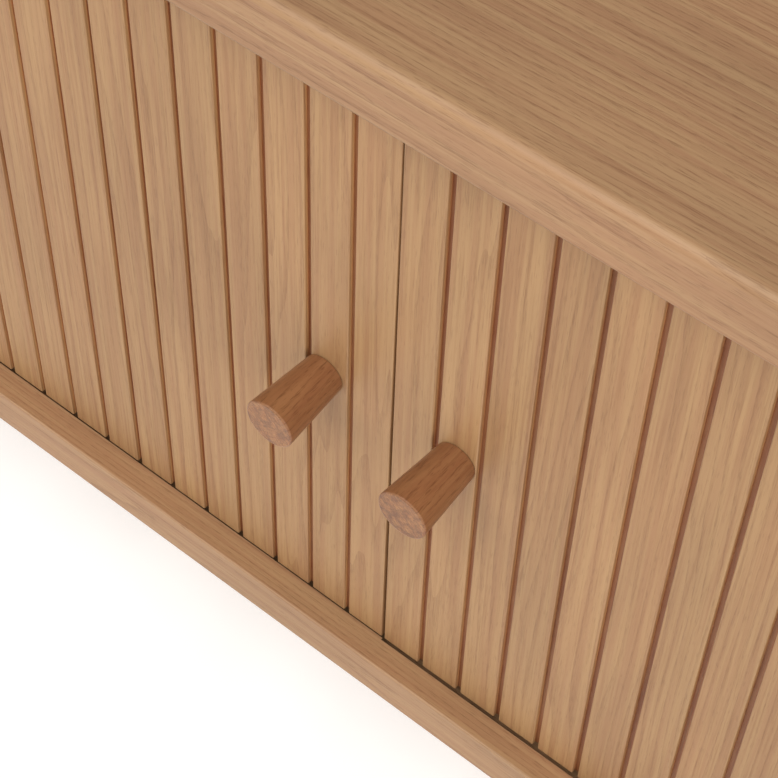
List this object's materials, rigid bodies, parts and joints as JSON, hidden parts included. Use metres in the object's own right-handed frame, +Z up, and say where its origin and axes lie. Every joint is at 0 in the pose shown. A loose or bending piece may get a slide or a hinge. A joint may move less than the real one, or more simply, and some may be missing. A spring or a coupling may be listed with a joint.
{
  "type": "media cabinet",
  "caption": "Low oak media cabinet with two inset slatted doors on pivot hinges, turned knobs, adjustable shelves, cable outlets and tapered legs.",
  "frame": {"origin": "on the floor, under the middle of the whole object's box, knobs included", "axes": "+Z up; the doors face -Y; +X runs to the right along the cabinet's length, seen from the front"},
  "size_m": [1.2124, 0.4188, 0.513],
  "materials": {
    "oak_board": "matt lacquered oak, grain along each board",
    "oak_slat": "matt lacquered oak, grain upright, each slat its own tone",
    "oak_knob": "satin oiled oak, grain along the knob, paler end grain",
    "oak_veneer": "matt lacquered oak veneer",
    "back_veneer": "matt oak-veneered fibreboard",
    "oak_leg": "matt lacquered solid oak, grain along the leg",
    "plated_steel": "nickel-plated, satin",
    "black_steel": "black powder coat, fine texture",
    "dark_plastic": "moulded, matt",
    "glide_nylon": "moulded nylon, matt",
    "bumper_rubber": "soft, matt"
  },
  "bodies": {
    "carcass": {"top_panel": "oak_board", "bottom_panel": "oak_board", "side_panel_left": "oak_board", "side_panel_right": "oak_board", "centre_divider": "oak_veneer", "back_panel": "back_veneer", "cable_grommet_left": "dark_plastic", "cable_grommet_right": "dark_plastic", "shelf_left": "oak_veneer", "shelf_right": "oak_veneer", "shelf_pin_left_front_inner": "plated_steel", "shelf_pin_left_front_outer": "plated_steel", "shelf_pin_left_rear_inner": "plated_steel", "shelf_pin_left_rear_outer": "plated_steel", "shelf_pin_right_front_inner": "plated_steel", "shelf_pin_right_front_outer": "plated_steel", "shelf_pin_right_rear_inner": "plated_steel", "shelf_pin_right_rear_outer": "plated_steel", "leg_front_left": "oak_leg", "leg_plate_front_left": "black_steel", "leg_bolt_front_left": "plated_steel", "leg_glide_front_left": "glide_nylon", "leg_front_right": "oak_leg", "leg_plate_front_right": "black_steel", "leg_bolt_front_right": "plated_steel", "leg_glide_front_right": "glide_nylon", "leg_rear_left": "oak_leg", "leg_plate_rear_left": "black_steel", "leg_bolt_rear_left": "plated_steel", "leg_glide_rear_left": "glide_nylon", "leg_rear_right": "oak_leg", "leg_plate_rear_right": "black_steel", "leg_bolt_rear_right": "plated_steel", "leg_glide_rear_right": "glide_nylon", "hinge_plate_lower_left": "plated_steel", "hinge_plate_upper_left": "plated_steel", "magnetic_catch_left": "dark_plastic", "hinge_plate_lower_right": "plated_steel", "hinge_plate_upper_right": "plated_steel", "magnetic_catch_right": "dark_plastic"},
    "left_door": {"slat_face_left": "oak_slat", "door_core_left": "oak_veneer", "knob_left": "oak_knob", "knob_screw_left": "plated_steel", "strike_plate_left": "plated_steel", "door_bumper_left": "bumper_rubber", "hinge_pin_lower_left": "plated_steel", "hinge_pin_upper_left": "plated_steel"},
    "right_door": {"slat_face_right": "oak_slat", "door_core_right": "oak_veneer", "knob_right": "oak_knob", "knob_screw_right": "plated_steel", "strike_plate_right": "plated_steel", "door_bumper_right": "bumper_rubber", "hinge_pin_lower_right": "plated_steel", "hinge_pin_upper_right": "plated_steel"}
  },
  "joints": [
    {"name": "left_door_hinge", "type": "hinge", "parent": "carcass", "child": "left_door", "pos_m": [-0.54925, -0.167, 0.175], "axis": [0, 0, -1], "range_deg": [0, 100]},
    {"name": "right_door_hinge", "type": "hinge", "parent": "carcass", "child": "right_door", "pos_m": [0.54925, -0.167, 0.175], "axis": [0, 0, 1], "range_deg": [0, 100]}
  ]
}
